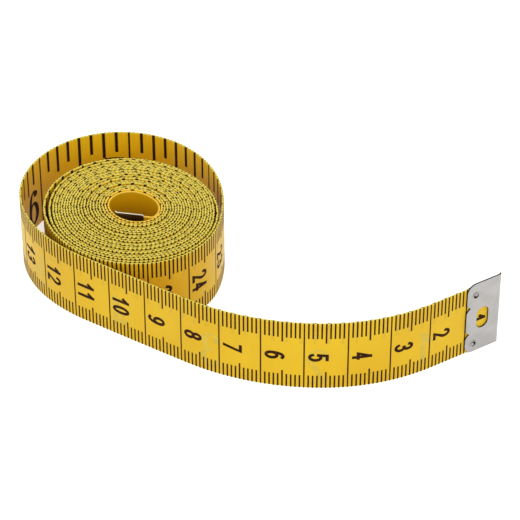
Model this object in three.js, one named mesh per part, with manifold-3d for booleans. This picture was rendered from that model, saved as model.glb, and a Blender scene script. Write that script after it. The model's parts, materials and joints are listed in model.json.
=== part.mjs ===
// A cloth tape measure that was rolled up by hand and stands on its edge. From the inside out it is
// a short straight end with a folded metal clip inside the bore, a tight roll, one loose turn that
// springs away from the roll, and a free tail whose folded metal clip is the zero of the scale.
// Millimetres, +Z up. In the plan X runs to the right and Y runs away from the front. The origin is
// on the floor, under the middle of the whole. Travel along the tape is from the bore outwards, and
// a place on the tape is its distance from the outer clip's edge, as the printed scale counts it.
import * as THREE from 'three';
import { mergeVertices } from 'three/addons/utils/BufferGeometryUtils.js';
import Module from 'manifold-3d';

const degrees = Math.PI / 180;

// The tape is one strip of cloth. What is drawn of its length follows from the winding and the tail.
const tapeWidth = 19;
const tapeThickness = 0.45;
const pieceGap = 0.3;

// The roll: its turns widen evenly from the bore, drift towards the front and are slightly oval. A
// real roll of this depth has about 22 turns. The solid has 15, so that they stand clear of each other.
const boreRadius = 5.7;
const rollDepth = 15;
const wholeTurns = 15;
const boreAngle = -36;
const peelAngle = -22.5;
const rollDrift = 1.65;
const driftAngle = -114.5;
const boreOval = 0.5;
const rollOval = 0.76;
const ovalAngle = -40;

// The roll's last turn stands off a little at the left, where it has slackened.
const slackLift = 0.4;
const slackMiddleShare = 0.51;
const slackSpanShare = 0.4;

// The loose turn leaves the roll at the right, passes behind it and comes close again at the front.
const looseLift = 11;
const looseSpan = 260.7;
const looseRise = 0.63;

// The tail, from where it leaves the roll: lengths, and how far each turns to the left.
const leadLength = 28.7;
const leadTurn = 0.85;
const bellyLength = 31.8;
const bellyTurn = 30.6;
const riseLength = 28;
const riseTurn = 33.3;
const tipLength = 19;

// The inner end bends off the bore's wall and crosses the bore, to where the wall is so many turns on.
const innerBendRadius = 1.2;
const innerBendTurn = 65;
const crossingTurns = 0.66;
const innerEndClearance = 0.77;
const innerClipSetback = 1.4;

// Places of the joins where the tape bends, counted from the outer clip's edge.
const tipJoin = 35;
const middleJoin = 64;
const rootJoin = 94;

// The clips: one strip of sheet steel, folded over the tape's end and pressed down on it.
const clipLength = 9.8;
const sheetThickness = 0.35;
const clipClearance = 0.2;
const clipRise = 0.7;
const cornerRadius = 2.3;
const notchDepth = 1.15;
const notchHalfOpening = 1.3;
const notchOffset = 3.9;
const windowWidth = 3.5;
const windowHeight = 6.1;
const windowInset = 3.4;
const stakeRadius = 0.45;
const stakeInset = 7.2;
const stakeEdgeInset = 2.75;
const cutOverrun = 1;

// How finely the curves are stepped.
const stepsPerTurn = 32;
const bendSteps = 5;
const stepsPerStretch = 10;
const foldSteps = 8;
const cutSteps = 6;

const fullTurn = 360;
const rollTurns = wholeTurns + (peelAngle - boreAngle) / fullTurn;
const looseTurns = looseSpan / fullTurn;
const halfThickness = tapeThickness / 2;
const clipThickness = tapeThickness + 2 * (clipClearance + sheetThickness);
const clipHeight = tapeWidth + clipRise;

// A point on the roll or on the loose turn, so many turns out from the start of the bore's wall.
function windingPoint(turns) {
  const angle = boreAngle + fullTurn * turns;
  const outwardShare = Math.min(turns / rollTurns, 1);
  const drift = outwardShare * rollDrift * Math.cos((angle - driftAngle) * degrees);
  const ovalSize = boreOval + (rollOval - boreOval) * outwardShare;
  const oval = ovalSize * Math.cos(2 * (angle - ovalAngle) * degrees);
  const slackPlace = (rollTurns - turns - slackMiddleShare) / slackSpanShare;
  const slack = Math.abs(slackPlace) < 1 / 2 ? slackLift * Math.cos(Math.PI * slackPlace) ** 2 : 0;
  const looseShare = THREE.MathUtils.clamp((turns - rollTurns) / looseTurns, 0, 1);
  const lift = looseLift * Math.sin(Math.PI * looseShare) ** 2;
  const wall = boreRadius + rollDepth * outwardShare + looseRise * looseShare;
  const radius = wall + drift + oval + slack + lift;
  return new THREE.Vector2(Math.cos(angle * degrees), Math.sin(angle * degrees)).multiplyScalar(radius);
}

function windingPoints(fromTurns, toTurns) {
  const steps = Math.ceil((toTurns - fromTurns) * stepsPerTurn);
  const points = [];
  for (let step = 0; step <= steps; step += 1) {
    points.push(windingPoint(fromTurns + (toTurns - fromTurns) * step / steps));
  }
  return points;
}

// Which way the winding runs at a number of turns, as an angle in the plan.
function windingHeading(turns) {
  const share = 1 / (stepsPerTurn * stepsPerTurn);
  return windingPoint(turns + share).sub(windingPoint(turns - share)).angle();
}

// Points of a chain of arcs that starts off in a heading.
function walk(start, startHeading, stretches) {
  const points = [];
  const here = start.clone();
  let heading = startHeading;
  for (const { length, turn, steps } of stretches) {
    const turnStep = turn * degrees / steps;
    for (let step = 0; step < steps; step += 1) {
      heading += turnStep / 2;
      here.x += length / steps * Math.cos(heading);
      here.y += length / steps * Math.sin(heading);
      heading += turnStep / 2;
      points.push(here.clone());
    }
  }
  return points;
}

// The straight inner end runs across the bore and stops clear of the wall.
function lengthAcrossBore(start, heading) {
  const reach = windingPoint(crossingTurns).length() - halfThickness - innerEndClearance;
  const along = start.x * Math.cos(heading) + start.y * Math.sin(heading);
  return -along + Math.sqrt(along ** 2 + reach ** 2 - start.lengthSq());
}

// The tape's middle line in plan, from its inner end to its outer end.
function tapeLine() {
  const roll = windingPoints(0, rollTurns);
  const loose = windingPoints(rollTurns, rollTurns + looseTurns).slice(1);
  const bendLength = innerBendRadius * innerBendTurn * degrees;
  const inwards = windingHeading(0) + Math.PI;
  const bend = walk(roll[0], inwards, [{ length: bendLength, turn: -innerBendTurn, steps: bendSteps }]);
  const crossing = inwards - innerBendTurn * degrees;
  const across = lengthAcrossBore(bend.at(-1), crossing);
  const end = walk(bend.at(-1), crossing, [{ length: across, turn: 0, steps: stepsPerStretch }]);
  const tail = walk(loose.at(-1), windingHeading(rollTurns + looseTurns), [
    { length: leadLength, turn: leadTurn, steps: stepsPerStretch },
    { length: bellyLength, turn: bellyTurn, steps: stepsPerStretch },
    { length: riseLength, turn: riseTurn, steps: stepsPerStretch },
    { length: tipLength, turn: 0, steps: stepsPerStretch },
  ]);
  const points = [...end.reverse(), ...bend.reverse(), ...roll, ...loose, ...tail];
  const places = points.map(() => 0);
  for (let index = points.length - 2; index >= 0; index -= 1) {
    places[index] = places[index + 1] + points[index].distanceTo(points[index + 1]);
  }
  return { points, places, peelPlace: places[end.length + bend.length + roll.length - 1], across };
}

const line = tapeLine();
const peelJoin = line.peelPlace;
const innerTip = line.places[0];
const innerJoin = innerTip - line.across;

// The point on the middle line at a place, and the unit vector that points to the outer face there.
function atPlace(place) {
  let index = line.places.findIndex((distance) => distance <= place + Number.EPSILON);
  index = index < 1 ? 1 : index;
  const [far, near] = [line.places[index - 1], line.places[index]];
  const point = line.points[index - 1].clone().lerp(line.points[index], (far - place) / (far - near));
  const travel = line.points[index].clone().sub(line.points[index - 1]).normalize();
  return { point, travel, side: new THREE.Vector2(travel.y, -travel.x) };
}

// The stations of one length of tape: its two ends and the middle line's points between them.
function stations(fromPlace, toPlace) {
  const shortest = Math.min(pieceGap, tapeThickness);
  const inner = line.places
    .map((place, index) => ({ place, point: line.points[index] }))
    .filter(({ place }) => place < fromPlace - shortest && place > toPlace + shortest);
  const points = [atPlace(fromPlace).point, ...inner.map(({ point }) => point), atPlace(toPlace).point];
  return points.map((point, index) => {
    const before = points[Math.max(index - 1, 0)];
    const after = points[Math.min(index + 1, points.length - 1)];
    const travel = after.clone().sub(before).normalize();
    const edge = (index > 0 ? point.clone().sub(before) : after.clone().sub(point)).normalize();
    const mitre = 1 / travel.dot(edge);
    return { point, side: new THREE.Vector2(travel.y, -travel.x).multiplyScalar(mitre * halfThickness) };
  });
}

// One unbroken strip of tape between two places, as a closed body that stands on its lower edge.
function tapeGeometry(fromPlace, toPlace) {
  const positions = [];
  const indices = [];
  const strip = stations(fromPlace, toPlace);
  for (const { point, side } of strip) {
    for (const [sign, height] of [[1, 0], [-1, 0], [-1, tapeWidth], [1, tapeWidth]]) {
      positions.push(point.x + sign * side.x, point.y + sign * side.y, height);
    }
  }
  for (let station = 1; station < strip.length; station += 1) {
    for (let corner = 0; corner < 4; corner += 1) {
      const [a, b] = [4 * station - 4 + corner, 4 * station - 4 + (corner + 1) % 4];
      indices.push(a, b, b + 4, a, b + 4, a + 4);
    }
  }
  const last = 4 * (strip.length - 1);
  indices.push(0, 2, 1, 0, 3, 2, last, last + 1, last + 2, last, last + 2, last + 3);
  const geometry = new THREE.BufferGeometry();
  geometry.setAttribute('position', new THREE.Float32BufferAttribute(positions, 3));
  geometry.setIndex(indices);
  geometry.computeVertexNormals();
  return geometry;
}

const wasm = await Module();
wasm.setup();

function solidOf(geometry) {
  const bare = geometry.clone();
  bare.deleteAttribute('normal');
  bare.deleteAttribute('uv');
  const merged = mergeVertices(bare);
  const vertProperties = new Float32Array(merged.attributes.position.array);
  const triVerts = new Uint32Array(merged.index.array);
  return new wasm.Manifold(new wasm.Mesh({ numProp: 3, vertProperties, triVerts }));
}

function geometryOf(solid) {
  const { vertProperties, triVerts } = solid.getMesh();
  const geometry = new THREE.BufferGeometry();
  geometry.setAttribute('position', new THREE.BufferAttribute(vertProperties, 3));
  geometry.setIndex(new THREE.BufferAttribute(triVerts, 1));
  geometry.computeVertexNormals();
  return geometry;
}

// A clip lies along X from its folded edge at zero, with its front plate on the +Y side.
// The folded strip as seen from above: two plates joined by a half ring.
function foldedStrip(length) {
  const outer = clipThickness / 2;
  const inner = outer - sheetThickness;
  const shape = new THREE.Shape();
  shape.moveTo(length, -outer);
  shape.lineTo(length, -inner);
  shape.lineTo(outer, -inner);
  shape.absarc(outer, 0, inner, -Math.PI / 2, -Math.PI * 3 / 2, true);
  shape.lineTo(length, inner);
  shape.lineTo(length, outer);
  shape.lineTo(outer, outer);
  shape.absarc(outer, 0, outer, Math.PI / 2, Math.PI * 3 / 2, false);
  const settings = { depth: clipHeight, bevelEnabled: false, curveSegments: foldSteps };
  return new THREE.ExtrudeGeometry(shape, settings);
}

// What stands upright in X and Z is drawn in X and Y, given its depth and turned up.
function uprightPrism(shape, fromY, depth) {
  const settings = { depth, bevelEnabled: false, curveSegments: cutSteps };
  const prism = new THREE.ExtrudeGeometry(shape, settings);
  return prism.rotateX(90 * degrees).translate(0, fromY + depth, 0);
}

// The outline of the plates: round inner corners, and two notches between three lobes.
function plateOutline(length) {
  const middle = tapeWidth / 2;
  const root = length - notchDepth;
  const flank = length - notchDepth / 3;
  const flankHalfWidth = notchHalfOpening / 3;
  const shape = new THREE.Shape();
  shape.moveTo(-cutOverrun, 0);
  shape.lineTo(length - cornerRadius, 0);
  shape.absarc(length - cornerRadius, cornerRadius, cornerRadius, -Math.PI / 2, 0, false);
  for (const notch of [middle - notchOffset, middle + notchOffset]) {
    shape.lineTo(length, notch - notchHalfOpening);
    shape.quadraticCurveTo(flank, notch - flankHalfWidth, root, notch);
    shape.quadraticCurveTo(flank, notch + flankHalfWidth, length, notch + notchHalfOpening);
  }
  shape.absarc(length - cornerRadius, clipHeight - cornerRadius, cornerRadius, 0, Math.PI / 2, false);
  shape.lineTo(-cutOverrun, clipHeight);
  return shape;
}

function windowOutline() {
  const radius = windowWidth / 2;
  const straight = (windowHeight - windowWidth) / 2;
  const shape = new THREE.Shape();
  shape.absarc(windowInset + radius, tapeWidth / 2 + straight, radius, 0, Math.PI, false);
  shape.absarc(windowInset + radius, tapeWidth / 2 - straight, radius, Math.PI, Math.PI * 2, false);
  return shape;
}

function stakeOutline(height) {
  const shape = new THREE.Shape();
  shape.absarc(stakeInset, height, stakeRadius, 0, Math.PI * 2, false);
  return shape;
}

// The window and the two stakes that grip the tape go through the front plate only.
function clipGeometry(length) {
  const reach = clipThickness / 2 + cutOverrun;
  let clip = solidOf(foldedStrip(length));
  clip = clip.intersect(solidOf(uprightPrism(plateOutline(length), -reach, 2 * reach)));
  clip = clip.subtract(solidOf(uprightPrism(windowOutline(), 0, reach)));
  for (const height of [stakeEdgeInset, tapeWidth - stakeEdgeInset]) {
    clip = clip.subtract(solidOf(uprightPrism(stakeOutline(height), 0, reach)));
  }
  return geometryOf(clip);
}

const tapeFinish = { color: 0xe3bc33, roughness: 0.5, metalness: 0 };
const steelFinish = { color: 0xb4b1ac, roughness: 0.4, metalness: 0.9 };

const tapeMeasure = new THREE.Group();

function addPiece(name, geometry, finish) {
  const mesh = new THREE.Mesh(geometry, new THREE.MeshStandardMaterial(finish));
  mesh.name = name;
  tapeMeasure.add(mesh);
  return mesh;
}

// The lengths of tape between the joins, each half a gap short of its neighbour.
const endInset = sheetThickness + clipClearance;
const tapePieces = [
  { name: 'tape_inner_end', from: innerTip - endInset, to: innerJoin + pieceGap / 2 },
  { name: 'tape_roll', from: innerJoin - pieceGap / 2, to: peelJoin + pieceGap / 2 },
  { name: 'tape_outer_turn', from: peelJoin - pieceGap / 2, to: rootJoin + pieceGap / 2 },
  { name: 'tape_tail_root', from: rootJoin - pieceGap / 2, to: middleJoin + pieceGap / 2 },
  { name: 'tape_tail_middle', from: middleJoin - pieceGap / 2, to: tipJoin + pieceGap / 2 },
  { name: 'tape_tail_tip', from: tipJoin - pieceGap / 2, to: endInset },
];
for (const { name, from, to } of tapePieces) {
  addPiece(name, tapeGeometry(from, to), tapeFinish);
}

// Each clip is set on its end of the tape, with its length pointing back along the tape.
function addClip(name, place, length, outwards) {
  const { point, travel } = atPlace(place);
  const clip = addPiece(name, clipGeometry(length), steelFinish);
  clip.position.set(point.x, point.y, 0);
  clip.rotation.z = Math.atan2(travel.y, travel.x) + (outwards ? Math.PI : 0);
}
addClip('outer_end_clip', 0, clipLength, true);
addClip('inner_end_clip', innerTip, line.across - innerClipSetback, false);

const box = new THREE.Box3().setFromObject(tapeMeasure);
const middle = box.getCenter(new THREE.Vector3());
tapeMeasure.position.set(-middle.x, -middle.y, -box.min.z);

// The least gap between the tape's faces where it passes itself, measured on the middle line's points.
function leastGap() {
  const apart = 2 * boreRadius;
  const segment = new THREE.Line3();
  const nearest = new THREE.Vector3();
  let least = Infinity;
  line.points.forEach(({ x, y }, index) => {
    const point = new THREE.Vector3(x, y, 0);
    for (let other = 1; other < line.points.length; other += 1) {
      const clear = Math.min(
        Math.abs(line.places[index] - line.places[other]),
        Math.abs(line.places[index] - line.places[other - 1]),
      );
      if (clear < apart) {
        continue;
      }
      segment.start.set(line.points[other - 1].x, line.points[other - 1].y, 0);
      segment.end.set(line.points[other].x, line.points[other].y, 0);
      segment.closestPointToPoint(point, true, nearest);
      least = Math.min(least, nearest.distanceTo(point) - tapeThickness);
    }
  });
  return least;
}

function describe(place) {
  const { x, y } = atPlace(place).point.sub(middle);
  return `place ${place.toFixed(2)} at x ${x.toFixed(3)}, y ${y.toFixed(3)}`;
}

console.log(`length drawn ${innerTip.toFixed(2)}, of which ${line.across.toFixed(3)} crosses the bore`);
console.log(`least gap of the tape to itself ${leastGap().toFixed(3)}`);
console.log(`bore centre at x ${(-middle.x).toFixed(3)}, y ${(-middle.y).toFixed(3)}`);
for (const [name, place] of Object.entries({ innerJoin, peelJoin, rootJoin, middleJoin, tipJoin })) {
  console.log(`${name}: ${describe(place)}`);
}

export default tapeMeasure;
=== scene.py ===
"""A cloth tape measure that was rolled up by hand and stands on its edge.

The tape is one printed strip of coated cloth. Its middle line in plan is worked out here from the
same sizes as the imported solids: a short inner end in the bore, a tight roll, a loose outer turn and
a free tail. A place on the tape is its distance from the outer clip's edge, as its scale counts it.
Each length of tape, its printed ink and the two folded clips are built along that line, in metres.
"""
import json
import logging
import math
from dataclasses import dataclass
from enum import Enum

import bpy
import numpy as np
from mathutils import Matrix, Vector
from mathutils.geometry import delaunay_2d_cdt


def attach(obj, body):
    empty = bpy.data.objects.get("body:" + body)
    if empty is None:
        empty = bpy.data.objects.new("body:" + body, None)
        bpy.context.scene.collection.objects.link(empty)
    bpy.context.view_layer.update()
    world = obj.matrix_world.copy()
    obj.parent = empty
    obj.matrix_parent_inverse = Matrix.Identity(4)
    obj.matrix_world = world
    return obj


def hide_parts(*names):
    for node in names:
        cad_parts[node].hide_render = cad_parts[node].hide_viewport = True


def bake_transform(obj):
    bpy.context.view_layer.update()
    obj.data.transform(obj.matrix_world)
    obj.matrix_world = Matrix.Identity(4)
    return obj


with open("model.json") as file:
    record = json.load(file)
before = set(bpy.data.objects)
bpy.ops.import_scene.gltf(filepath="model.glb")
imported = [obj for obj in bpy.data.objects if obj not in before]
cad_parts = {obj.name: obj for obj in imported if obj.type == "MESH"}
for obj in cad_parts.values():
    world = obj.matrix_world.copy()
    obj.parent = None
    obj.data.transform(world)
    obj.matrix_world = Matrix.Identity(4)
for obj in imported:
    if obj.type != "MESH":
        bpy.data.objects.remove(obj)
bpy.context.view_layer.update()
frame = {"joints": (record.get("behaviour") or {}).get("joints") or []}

log = logging.getLogger("tape_measure")

MM = 0.001
INCH = 25.4 * MM
TAPE_MAP = "tape_map"


class Face(Enum):
    """The two printed faces of the tape, with the side of the middle line that each is on."""

    CENTIMETRES = 1
    INCHES = -1


@dataclass(frozen=True)
class Wave:
    """A slow swing along the tape: the length that it takes for a radian, and the angle it starts at."""

    run: float
    phase: float = 0.0

    def at(self, places: np.ndarray) -> np.ndarray:
        """The swing at places along the tape, from minus one to one."""
        return np.sin(places / self.run + self.phase)


@dataclass(frozen=True)
class TapeSizes:
    """The strip of cloth, and how it strays and rises where it is wound by hand.

    Its cut edges are rounded, and swell where it is wound. From the start given below, and over the given
    run, its faces are painted darker near its inner end, a painted shade for the tape deep in the bore, and
    the print showing through fades out.
    """

    length: float = 2030 * MM
    width: float = 19 * MM
    thickness: float = 0.45 * MM
    thread_pitch: float = 0.52 * MM
    edge_round: float = 0.07 * MM
    swell: float = 0.045 * MM
    swell_depth: float = 0.6 * MM
    wound_start: float = 235 * MM
    wound_end: float = 2014 * MM
    wound_run: float = 30 * MM
    rise: float = 0.12 * MM
    rise_waves: tuple[Wave, ...] = (Wave(17 * MM, 3.66), Wave(29 * MM, 4.31))
    wander: float = 0.012 * MM
    wander_waves: tuple[Wave, ...] = (Wave(9.1 * MM), Wave(14.3 * MM, 2.0))
    # Painted shade: where the faces start to turn darker for the bore, and over how long; the print showing
    # through fades out there too.
    plain_start: float = 1990 * MM
    plain_run: float = 12 * MM


TAPE = TapeSizes()


@dataclass(frozen=True)
class Hollow:
    """A wider gap between two turns of the roll, inside of which the turns are pressed together.

    Its middle and its span are angles in degrees. The turns in from it are pressed less and less, and
    after pressed_turns no more.
    """

    angle: float
    span: float
    depth: float
    turns_outside: float
    pressed_turns: float = 8.0

    def press(self, turns_in: np.ndarray, angle: np.ndarray) -> np.ndarray:
        """How far inwards the tape is pressed.

        Args:
            turns_in: How many turns in from where the tape leaves the roll.
            angle: The angle round the roll in degrees.

        Returns:
            The distances.
        """
        from_middle = (angle - self.angle + 180) % 360 - 180
        bell = np.cos(np.pi * from_middle / self.span) ** 2
        near = np.where(np.abs(from_middle) < self.span / 2, bell, 0)
        inside = turns_in - self.turns_outside
        pressed = np.where(inside > 0, np.clip(1 - inside / self.pressed_turns, 0, 1), 0)
        return self.depth * near * pressed


@dataclass(frozen=True)
class RollSizes:
    """The roll, which widens evenly, drifts to the front and is slightly oval, and the loose turn.

    Its angles and spans are in degrees, counted from the right of the bore towards the back.
    """

    bore_radius: float = 5.7 * MM
    depth: float = 15 * MM
    whole_turns: int = 22
    bore_angle: float = -36.0
    peel_angle: float = -22.5
    drift: float = 1.65 * MM
    drift_angle: float = -114.5
    bore_oval: float = 0.5 * MM
    roll_oval: float = 0.76 * MM
    oval_angle: float = -40.0
    slack_lift: float = 0.4 * MM
    slack_middle_share: float = 0.51
    slack_span_share: float = 0.4
    loose_lift: float = 11 * MM
    loose_span: float = 260.7
    loose_rise: float = 0.63 * MM
    hollows: tuple[Hollow, ...] = (
        Hollow(angle=182.0, span=100.0, depth=0.3 * MM, turns_outside=0.93),
        Hollow(angle=188.0, span=105.0, depth=0.26 * MM, turns_outside=1.93),
        Hollow(angle=-5.0, span=60.0, depth=0.28 * MM, turns_outside=1.46),
    )

    @property
    def turns(self) -> float:
        """Turns from the start of the bore's wall to where the tape leaves the roll."""
        return self.whole_turns + (self.peel_angle - self.bore_angle) / 360

    @property
    def loose_turns(self) -> float:
        """Turns that the loose turn takes round the roll."""
        return self.loose_span / 360


@dataclass(frozen=True)
class Stretch:
    """One arc of the tape's line: its length and how many degrees it turns to the left."""

    length: float
    turn: float


@dataclass(frozen=True)
class InnerEndSizes:
    """The straight inner end that bends off the bore's wall and crosses the bore."""

    bend_radius: float = 1.2 * MM
    bend_turn: float = 65.0
    crossing_turns: float = 0.66
    clearance: float = 0.5005 * MM
    clip_setback: float = 1.4 * MM


@dataclass(frozen=True)
class LineSteps:
    """How finely the line's turns, bend and stretches are stepped."""

    per_turn: int = 120
    per_bend: int = 16
    per_stretch: int = 30


HEADING_SHARE = 0.001
PEEL_JOINT = "outer_turn_open"


def along_arcs(start: np.ndarray, heading: float, stretches: list[Stretch], steps: int) -> np.ndarray:
    """Points of a chain of arcs.

    Args:
        start: The chain's first point, which isn't returned.
        heading: The way it starts off in, in radians.
        stretches: The arcs in order.
        steps: How many steps each arc takes.

    Returns:
        The points, one row each.
    """
    points = []
    here = np.array(start, float)
    for stretch in stretches:
        turn = math.radians(stretch.turn) / steps
        for _ in range(steps):
            heading += turn / 2
            here = here + stretch.length / steps * np.array([math.cos(heading), math.sin(heading)])
            heading += turn / 2
            points.append(here)
    return np.array(points)


def spans(points: np.ndarray) -> np.ndarray:
    """Lengths of the steps between neighbouring points."""
    return np.linalg.norm(np.diff(points, axis=0), axis=1)


@dataclass
class TapeLine:
    """The tape's middle line in plan, with its places counted from the outer clip's edge."""

    tape: TapeSizes = TAPE
    roll: RollSizes = RollSizes()
    inner_end: InnerEndSizes = InnerEndSizes()
    tail: tuple[Stretch, ...] = (
        Stretch(28.7 * MM, 0.85),
        Stretch(31.8 * MM, 30.6),
        Stretch(28 * MM, 33.3),
        Stretch(19 * MM, 0.0),
    )
    steps: LineSteps = LineSteps()

    def __post_init__(self) -> None:
        """Lays the line in the row's frame, and counts the places on it.

        The roll's turns aren't quite even, so the places on them are spread to fit the tape's length.
        """
        points, self.peel_index, self.wall_index, self.across = self.points()
        peel = next(joint for joint in frame["joints"] if joint["name"] == PEEL_JOINT)
        shift = np.array(peel["pos_m"][:2]) - points[self.peel_index]
        self.line = (points + shift)[::-1]
        self.places = np.concatenate([[0.0], np.cumsum(spans(self.line))])
        last = len(points) - 1
        drawn = self.places[[0, last - self.peel_index, last - self.wall_index, last]]
        counted = [0.0, drawn[1], self.tape.length - (drawn[3] - drawn[2]), self.tape.length]
        self.places = np.interp(self.places, drawn, counted)
        self.offsets = self.mitred_sides()

    def winding(self, turns: np.ndarray) -> np.ndarray:
        """Points of the roll and the loose turn.

        Args:
            turns: How many turns out from the start of the bore's wall.

        Returns:
            The points in plan, from the bore's centre.
        """
        roll = self.roll
        turns = np.asarray(turns, float)
        angle = roll.bore_angle + 360 * turns
        outward_share = np.minimum(turns / roll.turns, 1)
        drift = outward_share * roll.drift * np.cos(np.radians(angle - roll.drift_angle))
        oval_size = roll.bore_oval + (roll.roll_oval - roll.bore_oval) * outward_share
        oval = oval_size * np.cos(2 * np.radians(angle - roll.oval_angle))
        slack_place = (roll.turns - turns - roll.slack_middle_share) / roll.slack_span_share
        slack = np.where(np.abs(slack_place) < 0.5, roll.slack_lift * np.cos(np.pi * slack_place) ** 2, 0)
        loose_share = np.clip((turns - roll.turns) / roll.loose_turns, 0, 1)
        lift = roll.loose_lift * np.sin(np.pi * loose_share) ** 2
        wall = roll.bore_radius + roll.depth * outward_share + roll.loose_rise * loose_share
        pressed = sum(hollow.press(roll.turns - turns, angle) for hollow in roll.hollows)
        radius = wall + drift + oval + slack + lift - pressed
        return np.stack([np.cos(np.radians(angle)) * radius, np.sin(np.radians(angle)) * radius], -1)

    def winding_heading(self, turns: float) -> float:
        """Which way the winding runs at a number of turns, in radians."""
        before, after = self.winding([turns - HEADING_SHARE, turns + HEADING_SHARE])
        return math.atan2(after[1] - before[1], after[0] - before[0])

    def length_across(self, start: np.ndarray, heading: float) -> float:
        """How far the straight inner end can run across the bore before it meets the wall.

        Args:
            start: Where it starts, from the bore's centre.
            heading: The way it runs, in radians.

        Returns:
            The length.
        """
        (wall,) = self.winding([self.inner_end.crossing_turns])
        reach = math.hypot(*wall) - self.tape.thickness / 2 - self.inner_end.clearance
        along = start[0] * math.cos(heading) + start[1] * math.sin(heading)
        return -along + math.sqrt(along**2 + reach**2 - start[0] ** 2 - start[1] ** 2)

    def points(self) -> tuple[np.ndarray, int, int, float]:
        """The middle line's points, from the inner end outwards.

        Returns:
            The points, the indices of the one where the tape leaves the roll and of the one where the
            bore's wall starts, and the length of the straight inner end.
        """
        roll, inner, steps = self.roll, self.inner_end, self.steps
        full = roll.turns + roll.loose_turns
        roll_steps = math.ceil(roll.turns * steps.per_turn)
        loose_steps = math.ceil(roll.loose_turns * steps.per_turn)
        wound = self.winding(np.linspace(0, roll.turns, roll_steps + 1))
        loose = self.winding(np.linspace(roll.turns, full, loose_steps + 1)[1:])
        bend_length = inner.bend_radius * math.radians(inner.bend_turn)
        inwards = self.winding_heading(0) + math.pi
        bend = along_arcs(wound[0], inwards, [Stretch(bend_length, -inner.bend_turn)], steps.per_bend)
        crossing = inwards - math.radians(inner.bend_turn)
        across = self.length_across(bend[-1], crossing)
        end = along_arcs(bend[-1], crossing, [Stretch(across, 0)], steps.per_stretch)
        tail = along_arcs(loose[-1], self.winding_heading(full), list(self.tail), steps.per_stretch)
        wall_index = len(end) + len(bend)
        line = np.concatenate([end[::-1], bend[::-1], wound, loose, tail])
        return line, wall_index + len(wound) - 1, wall_index, across

    def mitred_sides(self) -> np.ndarray:
        """Mitres the strip's two sides.

        Returns:
            At each point, the vector to the centimetre face of a strip of half thickness one.
        """
        inward = np.gradient(self.line, axis=0)
        inward /= np.linalg.norm(inward, axis=1)[:, None]
        edges = np.diff(self.line, axis=0)
        edges /= np.linalg.norm(edges, axis=1)[:, None]
        edges = np.concatenate([edges, edges[-1:]])
        mitre = 1 / np.sum(inward * edges, axis=1)
        return np.stack([-inward[:, 1], inward[:, 0]], -1) * mitre[:, None]

    def at(self, places: np.ndarray) -> tuple[np.ndarray, np.ndarray]:
        """Points on the line and the vectors to the centimetre face there.

        Args:
            places: Places in metres.

        Returns:
            The points and the vectors, one row for each place.
        """
        along = [np.interp(places, self.places, column) for column in (*self.line.T, *self.offsets.T)]
        return np.stack(along[:2], -1), np.stack(along[2:], -1)

    def inward_heading(self, place: float) -> float:
        """Which way the tape runs from a place towards its inner end.

        Args:
            place: The place along the tape.

        Returns:
            The heading in radians.
        """
        step = 0.1 * MM
        (here, there), _ = self.at(np.clip([place - step, place + step], 0, self.places[-1]))
        return math.atan2(there[1] - here[1], there[0] - here[0])

    def stations(self, start: float, stop: float) -> np.ndarray:
        """Places the cross-sections of a length of tape: its ends and the line's points between.

        Args:
            start: The length's first place.
            stop: Its last place.

        Returns:
            The places in order.
        """
        least = 0.05 * MM
        inside = self.places[(self.places > start + least) & (self.places < stop - least)]
        return np.concatenate([[start], inside, [stop]])

    def solid_point(self, places: np.ndarray, aside: np.ndarray, heights: np.ndarray) -> np.ndarray:
        """Points of the tape's solid or of what is printed on it.

        Args:
            places: Places along the tape.
            aside: Distances from the middle of its thickness towards the centimetre face.
            heights: Distances from its lower edge.

        Returns:
            The points in the row's frame, one row each.
        """
        points, sides = self.at(places)
        wound = self.wound(places)
        aside = aside * (1 + wound * self.swell(heights)) + wound * self.wander(places)
        return np.column_stack([points + sides * aside[:, None], heights + wound * self.rise(places)])

    def wound(self, places: np.ndarray) -> np.ndarray:
        """One where the tape is wound on the roll, and zero on its loose lengths and its inner end."""
        inside = np.minimum(places - self.tape.wound_start, self.tape.wound_end - places)
        return np.clip(inside / self.tape.wound_run, 0, 1)

    def swell(self, heights: np.ndarray) -> np.ndarray:
        """How much thicker wound tape is towards its cut edges, where the weave spreads.

        Args:
            heights: Distances from the tape's lower edge.

        Returns:
            What is added to the thickness, as a share of it.
        """
        from_edge = np.minimum(heights, self.tape.width - heights)
        near = np.clip(1 - from_edge / self.tape.swell_depth, 0, 1)
        return 2 * self.tape.swell / self.tape.thickness * near

    def wander(self, places: np.ndarray) -> np.ndarray:
        """How far a hand-wound turn strays sideways."""
        waves = self.tape.wander_waves
        return self.tape.wander * sum(wave.at(places) for wave in waves) / len(waves)

    def rise(self, places: np.ndarray) -> np.ndarray:
        """How far a hand-wound turn stands above the floor, which the loose turn and the tail stand on."""
        waves = self.tape.rise_waves
        return self.tape.rise * (sum(wave.at(places) for wave in waves) + len(waves))


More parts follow.
